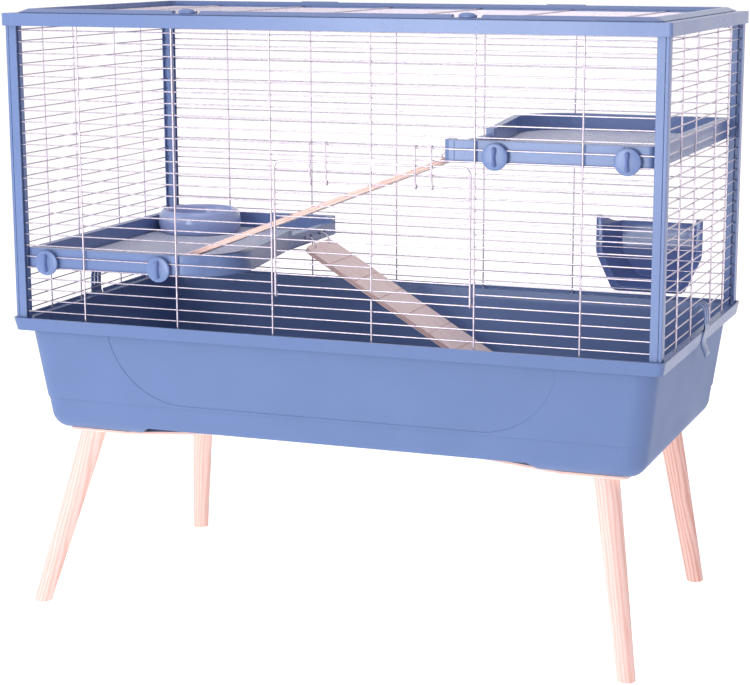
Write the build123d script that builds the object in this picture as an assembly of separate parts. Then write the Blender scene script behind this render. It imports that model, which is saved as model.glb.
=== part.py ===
from build123d import *
import os
from math import asin, atan2, cos, degrees, hypot, sin

# Rabbit hutch on four splayed legs: a moulded tub, a wire top with a plastic frame and a hinged lid,
# a drop-down front door, two bolted-in shelves, two ramps, a bowl and a hay rack.
# Millimetres. X runs along the front, Y to the back, Z up. The floor is Z = 0 and the tub is centred on Z.

# ---- overall sizes
LENGTH = 995.0              # over the tub's rim
DEPTH = 525.0
LEG_HEIGHT = 275.0          # floor to the underside of the leg boards
TUB_HEIGHT = 175.0          # pads to the top of the rim
CAGE_HEIGHT = 448.0         # top of the rim to the top of the frame band

# ---- leg boards and legs
BOARD_T = 4.0
BOARD_END = 60.0            # from the rim's end to the board's outer end
BOARD_LENGTH = 255.0
BOARD_STRAIGHT = 100.0      # straight part of its long sides
BOARD_IN = 53.5             # rim's outline to the board's side, at its outer end
BOARD_INNER_IN = 105.5
BOARD_OUTER_R = 12.0
BOARD_INNER_R = 60.0
LEG_TOP_R = 18.5
LEG_FOOT_R = 13.0
LEG_FOOT_EDGE = 1.5
LEG_TOP_IN = (94.5, 72.5)   # from the rim's outline in to the leg's top centre
LEG_LEAN = {"front_left": (84.0, 30.0), "front_right": (51.0, 64.0),
            "back_left": (33.0, 43.0), "back_right": (44.0, 36.0)}
STUD_R = 4.0
STUD_IN_LEG = 30.0
NUT_FLANGE_R = 11.0
NUT_FLANGE_T = 1.5
STUD_PROUD = 3.0            # above the nut's flange
SCREW_R = 2.0
SCREW_HEAD_R = 4.0
SCREW_HEAD_T = 2.0
SCREW_LENGTH = 12.0
SCREW_IN = (174.5, 112.5)   # from the rim's outline

# ---- tub
WALL = 2.5
TUB_FLOOR = 3.0
WALL_IN_TOP = 13.5          # rim's outline to the wall, under the rim
WALL_IN_STEP = 28.5
STEP_HEIGHT = 49.0          # above the pads
STEP_IN = 1.2
WALL_IN_BOTTOM = 35.5
TUB_CORNER_R = 30.0
TUB_BOTTOM_R = 28.0
PAD_RISE = 12.0             # how far the floor stands up between the pads
PAD_REACH = (183.5, 152.5)  # from the rim's outline in to the pads' inner sides
PAD_CHAMFER = 17.0
POCKET = (92.0, 91.0, 8.0)  # hollow under each pad, over the leg's nut
POCKET_IN = (119.5, 102.0)
RIM_CORNER_R = 10.0
RIM_LIP = 19.0
RIM_LIP_SLOPE = 3.5
RIM_LIP_T = 3.0
LEDGE_DROP = 4.0            # the cage stands on a ledge this far below the rim's top
LEDGE_T = 2.5
PANEL_IN = 151.5            # smooth D-shaped panel on the front, in from the rim's ends
PANEL_R = 150.0
PANEL_SINK = 0.6
PANEL_ABOVE_STEP = 4.0

# ---- cage frame
POST = 17.0
POST_IN = (5.5, 6.5)        # rim's outline to the post's outer faces
POST_GROOVE = 6.0
POST_GROOVE_DEPTH = 5.0
POST_LINE = 1.0
POST_LINE_IN = 4.5
BAND_IN = 1.5
BAND_H = 18.0
BAND_T = 2.5
BAND_CORNER_R = 4.0
PLATE_WIDTH = 29.0          # top plate of the frame, outside to opening
VENT = (12.0, 2.5)
VENT_Y = 115.0
CATCH = (16.0, 3.0, 3.9)    # rib under the plate that the lid latch goes under

# ---- wire panels
WIRE_R = 1.0                # horizontal wires
BAR_R = 1.25                # upright wires, welded outside them
WELD = 0.25
WIRE_PITCH = 16.55
FIRST_WIRE = 9.5            # above the rim's top
BAR_PITCH = 151.0           # uprights of the long panels
SIDE_BARS = (66.0, 157.0)   # uprights of the end panels
WIRE_IN = 10.5              # rim's outline to the horizontal wires of the end panels
WIRE_IN_FRONT = 11.5
WIRE_END_GAP = 1.5          # wire end to the bottom of the post's groove
BAR_TOP_GAP = 0.5

# ---- front door: the wire above its bottom edge and below its top edge, by number
DOOR_FIRST = 3
DOOR_LAST = 15
DOOR_BARS = (2, 4)          # it fills the space between these uprights
DOOR_SIDE_GAP = 5.5
DOOR_WIRE_R = 1.5
DOOR_LOOP_CLEAR = 0.15
DOOR_TOP_GAP = 7.75
DOOR_CORNER_R = 12.0
DOOR_WIRES = 11
DOOR_FIRST_WIRE = 12.85
LATCH_SPACING = 156.0
LATCH_WIDTH = 24.0
LATCH_WIRE_R = 1.2
LATCH_ON_WIRE = 9           # counted from the door's lowest wire
LATCH_CLEAR = 0.3
LATCH_BAR_CLEAR = 0.5
LATCH_BEND_R = 2.0

# ---- lid
LID_GAP = 0.3               # over the frame's top plate
LID_IN = 16.0               # band's outline to the lid's base
LID_EDGE = 1.0
LID_RISE = 5.7
LID_SLOPE = 10.0
LID_WALL = 3.0
LID_WALL_DROP = 6.8         # inner wall below the lid's base
LID_OPENING_CLEAR = 1.0
LID_CORNER_R = 10.0
LID_GROOVE = (1.5, 4.6)
LID_WIRE_ROOM = 12.0        # inside the lid's front and back, for the latches
HINGE_X = 209.0
HINGE_PIN_R = 1.5
PIN_CLEAR = 0.05
HINGE_EAR = 42.0
HINGE_LUG = 10.0
HINGE_LUG_GAP = 0.5
HINGE_R = 3.2
HINGE_BACK = 7.5            # pin's axis behind the lid's base
LATCH_X = 209.0
LATCH_TRAVEL = 6.0
THUMB = (24.0, 14.0, 6.5)
THUMB_R = 5.0
RECESS = 43.0
RECESS_FLOOR = 1.8
STEM = (16.0, 3.0)
TONGUE_T = 2.6

# ---- side clips
CLIP_WIDTH = 34.0
CLIP_T = 2.4
CLIP_SLOT = 4.2
CLIP_NOTCH_CLEAR = 1.0
CLIP_BARREL_R = 4.0
CLIP_PIN_R = 1.5
CLIP_BOSS = 8.0
CLIP_AXIS = (8.0, 12.5)     # in from the rim's end and down from its top

# ---- shelves
SHELF_TOP_ABOVE_KNOB = 20.5
SHELF_BELOW_KNOB = 10.0
SHELF_KNOB_WIRE = 4         # the knobs pass between this wire and the next
SHELF_LEVELS = 11           # wires from the lower shelf to the upper
SHELF_CLEAR = 1.0           # to the posts
SHELF_MESH_CLEAR = 2.0      # to the front and back wires
SHELF_LONG = 294.0          # length of the long rail
SHELF_SHORT = 335.2         # to the corner that the bulge rounds off
SHELF_BULGE_R = 88.0
SHELF_HOOK_Y = 45.0         # the hook rail starts here
SHELF_HOOK_R = 20.0
SHELF_CORNER_R = 8.0
RAIL_W = 12.0
RAIL_SKIN = 2.5
RAIL_INNER = 2.0
RAIL_FOOT = 4.0
HOOK_RAIL_DROP = 9.0
HOOK_RAIL_SPAN = (15.0, 23.0)     # lower part, from the rail's start and to the back rail
GRID_T = 3.0
GRID_CLEAR = 0.3
GRID_PITCH = 18.0
GRID_BAR = 2.6
GRID_BORDER = 6.0
KNOB_FROM_END = (35.0, 219.0)
KNOB_R = 18.5
KNOB_T = 4.0
KNOB_CLEAR = 0.6
KNOB_WING = (26.0, 9.0, 3.4)
KNOB_WING_END_R = 2.8
STEM_R = 4.5
COLLAR_R = 6.8
COLLAR_T = 2.3
COLLAR_CLEAR = 0.2

# ---- ramps
RAMP_W = 105.0
RAMP_T = 7.0
RAMP_LOWER_LENGTH = 440.5
RAMP_OVER_RAIL = 12.2       # upper ramp's line above the lower shelf's rail
RAMP_IN = {"lower": 105.5, "upper": 82.5}       # centre, from the shelf's long side
RAMP_CORNER_R = 14.0
RAMP_GROOVE = 1.2
RAMP_GROOVE_PITCH = 49.0
RAMP_REST_GAP = 0.3
RAMP_START = 15.0           # hook's axis to the plank's end
RAMP_BELOW_HOOK = 4.0
HOOK_R = 1.1
HOOK_HOLE_R = 3.2
HOOK_SPACING = 58.0
HOOK_Z = 11.0               # above the shelf's underside
HOOK_INSIDE = 5.0
HOOK_TAIL = 3.5
HOOK_REACH = 12.0
HOOK_IN_PLANK = 9.0
HOOK_BEND_R = 2.5
HOOK_FIT = 0.1

# ---- bowl
BOWL_R = 68.0
BOWL_RIM_R = 59.0
BOWL_FOOT_R = 60.0
BOWL_H = 37.0
BOWL_WALL = 2.5
BOWL_FLOOR = 5.0
BOWL_CLEAR = 0.3
BOWL_BESIDE_RAIL = 2.0

# ---- hay rack
RACK_IN = 147.5             # centre, from the rim's end
RACK_W = 172.0
RACK_BOTTOM_W = 116.0
RACK_H = 122.0
RACK_ABOVE_RIM = 4.0
RACK_STRAIGHT = 62.0        # height of the upright part of its sides
RACK_FLANGE = 10.0
RACK_FLANGE_T = 2.5
RACK_DEPTH = 58.0
RACK_TAPER = 18.0
RACK_WALL = 2.0
RACK_BACK_DROP = 14.0
RACK_MESH_CLEAR = 0.6
HANGER_R = 1.0
HANGER_WIRE = 4
HANGER_CLEAR = 0.4
HANGER_PAST = 5.0
HANGER_HOLE_CLEAR = 0.3

# ---- levels and outlines that follow
HL = LENGTH / 2
HD = DEPTH / 2
PAD_Z = LEG_HEIGHT + BOARD_T
FLOOR_Z = PAD_Z + PAD_RISE + TUB_FLOOR
STEP_Z = PAD_Z + STEP_HEIGHT
RIM_Z = PAD_Z + TUB_HEIGHT
LEDGE_Z = RIM_Z - LEDGE_DROP
BAND_Z = RIM_Z + CAGE_HEIGHT
PLATE_Z = BAND_Z - BAND_T
POST_X = HL - POST_IN[0]
POST_Y = HD - POST_IN[1]
WIRE_X = HL - WIRE_IN
WIRE_Y = HD - WIRE_IN_FRONT
BAR_OUT = WIRE_R + BAR_R - WELD
BAND_X = HL - BAND_IN
BAND_Y = HD - BAND_IN
OPEN_X = BAND_X - PLATE_WIDTH
OPEN_Y = BAND_Y - PLATE_WIDTH
WIRES = int((CAGE_HEIGHT - BAND_H - FIRST_WIRE) / WIRE_PITCH) + 1
BARS = [BAR_PITCH * (i - 2.5) for i in range(6)]
LID_Z = BAND_Z + LID_GAP
LID_X = BAND_X - LID_IN
LID_Y = BAND_Y - LID_IN
CREST_Z = LID_Z + LID_RISE
LID_WALL_X = OPEN_X - LID_OPENING_CLEAR
LID_WALL_Y = OPEN_Y - LID_OPENING_CLEAR
LID_IN_X = LID_WALL_X - LID_WALL
LID_IN_Y = LID_WALL_Y - LID_WALL
CORNERS = {"front_left": (-1, -1), "front_right": (1, -1), "back_left": (-1, 1), "back_right": (1, 1)}


def wire_z(number):
    return RIM_Z + FIRST_WIRE + WIRE_PITCH * number


SHELF_KNOB_Z = wire_z(SHELF_KNOB_WIRE) + WIRE_PITCH / 2
SHELF_Z = SHELF_KNOB_Z - SHELF_BELOW_KNOB
SHELF_H = SHELF_TOP_ABOVE_KNOB + SHELF_BELOW_KNOB
SHELF_END = -(POST_X - POST - SHELF_CLEAR)
SHELF_Y = WIRE_Y - WIRE_R - SHELF_MESH_CLEAR
SHELF_HOOK_X = SHELF_END + SHELF_LONG
SHELF_UP = WIRE_PITCH * SHELF_LEVELS
GRID_TOP = SHELF_Z + RAIL_INNER + GRID_T
HOOK_AXIS_X = SHELF_HOOK_X - RAIL_SKIN / 2
HOOK_AXIS_Z = SHELF_Z + HOOK_Z
RAMP_Y = {name: SHELF_Y - inward for name, inward in RAMP_IN.items()}
RAMP_DROP = {"lower": HOOK_AXIS_Z - FLOOR_Z, "upper": HOOK_AXIS_Z + SHELF_UP - GRID_TOP}
RAMP_OVER_GRID = SHELF_Z + SHELF_H + RAMP_OVER_RAIL - GRID_TOP
RAMP_LAP = -2 * HOOK_AXIS_X * RAMP_OVER_GRID / (RAMP_DROP["upper"] - RAMP_OVER_GRID)
RAMP_UPPER_LENGTH = hypot(RAMP_LAP - 2 * HOOK_AXIS_X, RAMP_DROP["upper"]) - RAMP_START
CLIP_X = HL - CLIP_AXIS[0]
CLIP_Z = RIM_Z - CLIP_AXIS[1]


# ---- helpers
def slab(half_l, half_d, z0, z1, r):
    return Pos(0, 0, z0) * extrude(RectangleRounded(2 * half_l, 2 * half_d, r), z1 - z0)


def drafted(low, high, z0, z1, r):
    bottom = Pos(0, 0, z0) * RectangleRounded(2 * low[0], 2 * low[1], r)
    top = Pos(0, 0, z1) * RectangleRounded(2 * high[0], 2 * high[1], r)
    return loft([bottom.face(), top.face()], ruled=True)


def block(x0, x1, y0, y1, z0, z1):
    return Pos((x0 + x1) / 2, (y0 + y1) / 2, (z0 + z1) / 2) * Box(x1 - x0, y1 - y0, z1 - z0)


def along_x(x0, x1, y, z, r):
    return Pos((x0 + x1) / 2, y, z) * Rot(0, 90, 0) * Cylinder(r, x1 - x0)


def along_y(y0, y1, x, z, r):
    return Pos(x, (y0 + y1) / 2, z) * Rot(90, 0, 0) * Cylinder(r, y1 - y0)


def along_z(z0, z1, x, y, r):
    return Pos(x, y, (z0 + z1) / 2) * Cylinder(r, z1 - z0)


def bent_wire(points, bend_r, r):
    path = FilletPolyline(*points, radius=bend_r)
    return sweep(Plane(origin=path @ 0, z_dir=path % 0) * Circle(r), path=path)


def weld(wires):
    return wires[0].fuse(*wires[1:])


def round_corner(sketch, point, r):
    corner = min(sketch.vertices(), key=lambda v: hypot(v.X - point[0], v.Y - point[1]))
    return fillet(corner, r)


def half_turn(shape):
    return Rot(0, 0, 180) * shape


# ---- tub
def tub_solid(skin, floor, bottom_r):
    low = WALL_IN_BOTTOM + skin
    step = WALL_IN_STEP + STEP_IN + skin
    upper = WALL_IN_STEP + skin
    top = WALL_IN_TOP + skin
    r = TUB_CORNER_R - skin
    foot = drafted((HL - low, HD - low), (HL - step, HD - step), floor, STEP_Z, r)
    foot = fillet(foot.edges().group_by(Axis.Z)[0], bottom_r)
    return foot + drafted((HL - upper, HD - upper), (HL - top, HD - top), STEP_Z, LEDGE_Z, r)


def rim():
    low = (HL - RIM_LIP_SLOPE, HD - RIM_LIP_SLOPE)
    inner_r = RIM_CORNER_R - RIM_LIP_T
    lip = drafted(low, (HL, HD), RIM_Z - RIM_LIP, RIM_Z, RIM_CORNER_R)
    under = slab(low[0] - RIM_LIP_T, low[1] - RIM_LIP_T, RIM_Z - RIM_LIP, LEDGE_Z - LEDGE_T, inner_r)
    over = slab(HL - RIM_LIP_T, HD - RIM_LIP_T, LEDGE_Z, RIM_Z, inner_r)
    return lip - under - over


def clip_boss(side, end):
    near = CLIP_WIDTH / 2 + CLIP_NOTCH_CLEAR
    x = (CLIP_X - CLIP_BARREL_R, CLIP_X + CLIP_BARREL_R)
    y = sorted((end * near, end * (near + CLIP_BOSS)))
    body = block(x[0], x[1], y[0], y[1], CLIP_Z - CLIP_BARREL_R - 1, LEDGE_Z - LEDGE_T)
    return body if side > 0 else mirror(body, about=Plane.YZ)


def front_panel():
    z = STEP_Z + PANEL_ABOVE_STEP
    half = HL - PANEL_IN
    outline = Polygon((-half, LEDGE_Z), (-half, z), (half, z), (half, LEDGE_Z), align=None)
    outline = fillet(outline.vertices().group_by(Axis.Y)[0], min(PANEL_R, LEDGE_Z - z - 1))
    return extrude(Plane.XZ.offset(HD - 2 * WALL_IN_STEP) * outline, 2 * WALL_IN_STEP)


def pad_gap(half, depth):
    low = PAD_Z - PAD_RISE
    high = PAD_Z + PAD_RISE
    top = half - PAD_CHAMFER
    wide = half + PAD_CHAMFER
    outline = Polygon((-wide, low), (wide, low), (top, high), (-top, high), align=None)
    return Plane.XZ.offset(-depth) * outline, 2 * depth


def tub():
    outer = tub_solid(0, PAD_Z, TUB_BOTTOM_R)
    sunk = tub_solid(PANEL_SINK, PAD_Z, TUB_BOTTOM_R)
    body = outer - ((outer - sunk) & front_panel())
    along = pad_gap(HL - PAD_REACH[0], HD)
    across = pad_gap(HD - PAD_REACH[1], HL)
    body -= extrude(*along)
    body -= Rot(0, 0, 90) * extrude(*across)
    body += rim()
    for side in (-1, 1):
        for end in (-1, 1):
            body += clip_boss(side, end)
    body -= tub_solid(WALL, FLOOR_Z, TUB_BOTTOM_R - WALL - TUB_FLOOR)
    for sx, sy in CORNERS.values():
        pocket = Pos(sx * (HL - POCKET_IN[0]), sy * (HD - POCKET_IN[1]), PAD_Z + POCKET[2] / 2)
        body -= pocket * Box(*POCKET)
        body -= along_z(PAD_Z, PAD_Z + SCREW_LENGTH - BOARD_T, sx * (HL - SCREW_IN[0]),
                        sy * (HD - SCREW_IN[1]), SCREW_R)
    notch = CLIP_WIDTH / 2 + CLIP_NOTCH_CLEAR
    for side in (-1, 1):
        x = sorted((side * (HL - RIM_LIP_SLOPE - RIM_LIP_T - 0.5), side * (HL + 1)))
        body -= block(x[0], x[1], -notch, notch, RIM_Z - RIM_LIP - 1, RIM_Z + 1)
        reach = notch + CLIP_BOSS + 1
        body -= along_y(-reach, reach, side * CLIP_X, CLIP_Z, CLIP_PIN_R + PIN_CLEAR)
    return body


# ---- legs
def leg_axis(name):
    sx, sy = CORNERS[name]
    top = (sx * (HL - LEG_TOP_IN[0]), sy * (HD - LEG_TOP_IN[1]))
    foot = (top[0] + sx * LEG_LEAN[name][0], top[1] + sy * LEG_LEAN[name][1])
    return top, foot


def leg(name):
    top, foot = leg_axis(name)
    run = Vector(top[0] - foot[0], top[1] - foot[1], LEG_HEIGHT)
    spare = 2 * LEG_TOP_R
    grow = (LEG_TOP_R - LEG_FOOT_R) / run.length * spare
    start = Vector(foot[0], foot[1], 0) - run.normalized() * spare
    cone = Cone(LEG_FOOT_R - grow, LEG_TOP_R + grow, run.length + 2 * spare,
                align=(Align.CENTER, Align.CENTER, Align.MIN))
    body = Plane(origin=start, z_dir=run) * cone
    body &= block(-LENGTH, LENGTH, -LENGTH, LENGTH, 0, LEG_HEIGHT)
    body = fillet(body.edges().group_by(Axis.Z)[0], LEG_FOOT_EDGE)
    return body - along_z(LEG_HEIGHT - STUD_IN_LEG, LEG_HEIGHT, top[0], top[1], STUD_R)


def leg_studs():
    studs = []
    for name in CORNERS:
        x, y = leg_axis(name)[0]
        studs.append(along_z(LEG_HEIGHT - STUD_IN_LEG, PAD_Z + NUT_FLANGE_T + STUD_PROUD, x, y, STUD_R))
    return Compound(children=studs)


def tee_nuts():
    nuts = []
    for name in CORNERS:
        x, y = leg_axis(name)[0]
        nut = along_z(PAD_Z, PAD_Z + NUT_FLANGE_T, x, y, NUT_FLANGE_R)
        nuts.append(nut - along_z(PAD_Z, PAD_Z + NUT_FLANGE_T, x, y, STUD_R))
    return Compound(children=nuts)


def board(side):
    outer = HL - BOARD_END
    inner = outer - BOARD_LENGTH
    deep = HD - BOARD_IN
    shallow = HD - BOARD_INNER_IN
    bend = outer - BOARD_STRAIGHT
    outline = Polygon((outer, -deep), (outer, deep), (bend, deep), (inner, shallow), (inner, -shallow),
                      (bend, -deep), align=None)
    outline = fillet(outline.vertices().group_by(Axis.X)[0], BOARD_INNER_R)
    outline = fillet(outline.vertices().group_by(Axis.X)[-1], BOARD_OUTER_R)
    body = Pos(0, 0, LEG_HEIGHT) * extrude(outline, BOARD_T)
    if side < 0:
        body = mirror(body, about=Plane.YZ)
    for name, (sx, sy) in CORNERS.items():
        if sx == side:
            x, y = leg_axis(name)[0]
            body -= along_z(LEG_HEIGHT, PAD_Z, x, y, STUD_R)
            body -= along_z(LEG_HEIGHT, PAD_Z, sx * (HL - SCREW_IN[0]), sy * (HD - SCREW_IN[1]), SCREW_R)
    return body


def board_screws():
    screws = []
    for sx, sy in CORNERS.values():
        x = sx * (HL - SCREW_IN[0])
        y = sy * (HD - SCREW_IN[1])
        head = along_z(LEG_HEIGHT - SCREW_HEAD_T, LEG_HEIGHT, x, y, SCREW_HEAD_R)
        screws.append(head + along_z(LEG_HEIGHT, LEG_HEIGHT + SCREW_LENGTH, x, y, SCREW_R))
    return Compound(children=screws)


# ---- cage frame
def post(name):
    sx, sy = CORNERS[name]
    body = block(POST_X - POST, POST_X, POST_Y - POST, POST_Y, LEDGE_Z, PLATE_Z)
    body = fillet(body.edges().filter_by(Axis.Z), POST_LINE)
    half = POST_GROOVE / 2
    x = POST_X - POST
    body -= block(x, x + POST_GROOVE_DEPTH, WIRE_Y - half, WIRE_Y + half, LEDGE_Z, PLATE_Z)
    y = POST_Y - POST
    body -= block(WIRE_X - half, WIRE_X + half, y, y + POST_GROOVE_DEPTH, LEDGE_Z, PLATE_Z)
    line = POST_X - POST_LINE_IN
    body -= block(line - POST_LINE, line, POST_Y - POST_LINE, POST_Y, LEDGE_Z, PLATE_Z)
    line = POST_Y - POST_LINE_IN
    body -= block(POST_X - POST_LINE, POST_X, line - POST_LINE, line, LEDGE_Z, PLATE_Z)
    if sx < 0:
        body = mirror(body, about=Plane.YZ)
    return body if sy > 0 else mirror(body, about=Plane.XZ)


def top_frame():
    body = slab(BAND_X, BAND_Y, BAND_Z - BAND_H, BAND_Z, BAND_CORNER_R)
    body -= slab(BAND_X - BAND_T, BAND_Y - BAND_T, BAND_Z - BAND_H, PLATE_Z, BAND_CORNER_R - BAND_T / 2)
    body -= slab(OPEN_X, OPEN_Y, PLATE_Z, BAND_Z, LID_CORNER_R)
    for sx in (-1, 1):
        for y in (-VENT_Y, VENT_Y):
            body -= Pos(sx * (BAND_X - 8), y, BAND_Z) * Box(VENT[1], VENT[0], 2 * BAND_T)
        catch_y = -OPEN_Y - 1 - CATCH[1] / 2
        body += Pos(sx * LATCH_X, catch_y, PLATE_Z - CATCH[2] / 2) * Box(*CATCH)
        for end in (-1, 1):
            x = sx * HINGE_X + end * (HINGE_EAR / 2 + HINGE_LUG_GAP + HINGE_LUG / 2)
            lug = along_x(x - HINGE_LUG / 2, x + HINGE_LUG / 2, hinge_y(), hinge_z(), HINGE_R)
            half = HINGE_LUG / 2
            lug += block(x - half, x + half, hinge_y() - HINGE_R, hinge_y() + HINGE_R, BAND_Z, hinge_z())
            body += lug - along_x(x - HINGE_LUG, x + HINGE_LUG, hinge_y(), hinge_z(), HINGE_PIN_R)
    return body


def hinge_y():
    return LID_Y + HINGE_BACK


def hinge_z():
    return BAND_Z + LID_GAP + HINGE_R


def lid_frame():
    body = slab(LID_X, LID_Y, LID_Z, LID_Z + LID_EDGE, LID_CORNER_R)
    crest = (LID_X - LID_SLOPE, LID_Y - LID_SLOPE)
    body += drafted((LID_X, LID_Y), crest, LID_Z + LID_EDGE, CREST_Z, LID_CORNER_R)
    body += slab(LID_WALL_X, LID_WALL_Y, LID_Z - LID_WALL_DROP, LID_Z, LID_CORNER_R)
    body -= slab(LID_IN_X, LID_IN_Y, LID_Z - LID_WALL_DROP, CREST_Z, LID_CORNER_R - LID_WALL)
    groove = (LID_IN_X + LID_GROOVE[0], LID_IN_Y + LID_GROOVE[0])
    body -= slab(*groove, LID_Z - LID_GROOVE[1], LID_Z, LID_CORNER_R)
    for sx in (-1, 1):
        x = sx * LATCH_X
        half = RECESS / 2
        body -= block(x - half, x + half, -LID_Y - 1, -LID_IN_Y + 1, LID_Z + RECESS_FLOOR, CREST_Z + 1)
        x = sx * HINGE_X
        ear = along_x(x - HINGE_EAR / 2, x + HINGE_EAR / 2, hinge_y(), hinge_z(), HINGE_R)
        ear += block(x - HINGE_EAR / 2, x + HINGE_EAR / 2, LID_Y - 2, hinge_y(), LID_Z, hinge_z())
        body += ear
        body -= along_x(x - HINGE_EAR, x + HINGE_EAR, hinge_y(), hinge_z(), HINGE_PIN_R + PIN_CLEAR)
    return body


def lid_hinge_pins():
    pins = []
    for sx in (-1, 1):
        half = HINGE_EAR / 2 + HINGE_LUG_GAP + HINGE_LUG
        pins.append(along_x(sx * HINGE_X - half, sx * HINGE_X + half, hinge_y(), hinge_z(), HINGE_PIN_R))
    return Compound(children=pins)


def lid_mesh():
    z = LID_Z - LID_GROOVE[1] + WIRE_R + 0.2
    half_x = LID_IN_X + LID_GROOVE[0] - 0.3
    half_y = LID_IN_Y + LID_GROOVE[0] - 0.3
    wires = []
    for i in range(int((LID_IN_Y - LID_WIRE_ROOM) / WIRE_PITCH + 0.5)):
        y = WIRE_PITCH * (i + 0.5)
        wires += [along_x(-half_x, half_x, y, z, WIRE_R), along_x(-half_x, half_x, -y, z, WIRE_R)]
    for x in BARS:
        wires.append(along_y(-half_y, half_y, x, z + 2 * WIRE_R - WELD, WIRE_R))
    return weld(wires)


def lid_latch(sx):
    y = -(LID_IN_Y + 1) - THUMB[1] / 2
    z = LID_Z + RECESS_FLOOR + 0.3
    thumb = extrude(RectangleRounded(THUMB[0], THUMB[1], THUMB_R), THUMB[2])
    thumb = fillet(thumb.edges().group_by(Axis.Z)[-1], THUMB[2] / 3)
    stem_y = -LID_IN_Y + LATCH_TRAVEL + 0.7
    body = Pos(0, y, z) * thumb
    body += block(-STEM[0] / 2, STEM[0] / 2, y, stem_y + STEM[1], z, z + TONGUE_T)
    low = LID_Z - LID_WALL_DROP - 0.4 - TONGUE_T
    body += block(-STEM[0] / 2, STEM[0] / 2, stem_y, stem_y + STEM[1], low, z + TONGUE_T)
    body += block(-STEM[0] / 2, STEM[0] / 2, -LID_WALL_Y + 1.5, stem_y + STEM[1], low, low + TONGUE_T)
    return Pos(sx * LATCH_X, 0, 0) * body


# ---- wire panels
def long_panel(side):
    y = side * WIRE_Y
    bar_y = side * (WIRE_Y + BAR_OUT)
    end = POST_X - POST + POST_GROOVE_DEPTH - WIRE_END_GAP
    left = BARS[DOOR_BARS[0]] + BAR_R / 2
    right = BARS[DOOR_BARS[1]] - BAR_R / 2
    wires = []
    for n in range(WIRES):
        z = wire_z(n)
        if side < 0 and DOOR_FIRST < n < DOOR_LAST:
            wires += [along_x(-end, left, y, z, WIRE_R), along_x(right, end, y, z, WIRE_R)]
        else:
            wires.append(along_x(-end, end, y, z, WIRE_R))
    for i, x in enumerate(BARS):
        if side < 0 and DOOR_BARS[0] < i < DOOR_BARS[1]:
            wires.append(along_z(LEDGE_Z, wire_z(DOOR_FIRST) + BAR_R / 2, x, bar_y, BAR_R))
            wires.append(along_z(wire_z(DOOR_LAST) - BAR_R / 2, PLATE_Z - BAR_TOP_GAP, x, bar_y, BAR_R))
        else:
            wires.append(along_z(LEDGE_Z, PLATE_Z - BAR_TOP_GAP, x, bar_y, BAR_R))
    return weld(wires)


def end_panel(side):
    end = POST_Y - POST + POST_GROOVE_DEPTH - WIRE_END_GAP
    wires = [along_y(-end, end, side * WIRE_X, wire_z(n), WIRE_R) for n in range(WIRES)]
    for y in SIDE_BARS:
        for sy in (-1, 1):
            wires.append(along_z(LEDGE_Z, PLATE_Z - BAR_TOP_GAP, side * (WIRE_X + BAR_OUT), sy * y, BAR_R))
    return weld(wires)


# ---- front door
DOOR_PLANE = -(WIRE_Y + WIRE_R + DOOR_LOOP_CLEAR + DOOR_WIRE_R)
DOOR_WIRE_Y = DOOR_PLANE + DOOR_WIRE_R + WIRE_R - WELD


def door_wire_z(number):
    return wire_z(DOOR_FIRST) + DOOR_FIRST_WIRE + WIRE_PITCH * number


def front_door():
    left = BARS[DOOR_BARS[0]] + DOOR_SIDE_GAP
    right = BARS[DOOR_BARS[1]] - DOOR_SIDE_GAP
    low = wire_z(DOOR_FIRST)
    top = wire_z(DOOR_LAST) - DOOR_TOP_GAP
    corners = [(left, DOOR_PLANE, low), (left, DOOR_PLANE, top),
               (right, DOOR_PLANE, top), (right, DOOR_PLANE, low)]
    wires = [bent_wire(corners, DOOR_CORNER_R, DOOR_WIRE_R)]
    for x in (left, right):
        loop = Torus(WIRE_R + DOOR_LOOP_CLEAR + DOOR_WIRE_R, DOOR_WIRE_R)
        wires.append(Pos(x, -WIRE_Y, low) * Rot(0, 90, 0) * loop)
    for k in range(DOOR_WIRES):
        wires.append(along_x(left, right, DOOR_WIRE_Y, door_wire_z(k), WIRE_R))
    middle = (left + right) / 2
    wires.append(along_z(door_wire_z(0) - BAR_R, top, middle, DOOR_WIRE_Y - BAR_OUT, BAR_R))
    return weld(wires)


def door_latch(side):
    middle = (BARS[DOOR_BARS[0]] + BARS[DOOR_BARS[1]]) / 2 + side * LATCH_SPACING / 2
    pivot_z = door_wire_z(LATCH_ON_WIRE)
    ring_r = WIRE_R + LATCH_CLEAR + LATCH_WIRE_R
    start_y = DOOR_WIRE_Y - ring_r
    front_y = DOOR_PLANE - DOOR_WIRE_R - LATCH_CLEAR - LATCH_WIRE_R
    back_y = -WIRE_Y + WIRE_R + LATCH_CLEAR + LATCH_WIRE_R
    bar_z = wire_z(DOOR_LAST + 1) + WIRE_R + LATCH_BAR_CLEAR + LATCH_WIRE_R
    half = LATCH_WIDTH / 2
    slant_top = wire_z(DOOR_LAST) - DOOR_TOP_GAP - DOOR_WIRE_R - 2 * LATCH_WIRE_R
    leg_points = [(start_y, pivot_z), (start_y, pivot_z + 3 * LATCH_WIRE_R), (front_y, slant_top),
                  (front_y, bar_z), (back_y, bar_z)]
    points = [(middle - half, y, z) for y, z in leg_points]
    points += [(middle + half, y, z) for y, z in reversed(leg_points)]
    body = bent_wire(points, LATCH_BEND_R, LATCH_WIRE_R)
    for x in (middle - half, middle + half):
        body += Pos(x, DOOR_WIRE_Y, pivot_z) * Rot(0, 90, 0) * Torus(ring_r, LATCH_WIRE_R)
    return body


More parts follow.
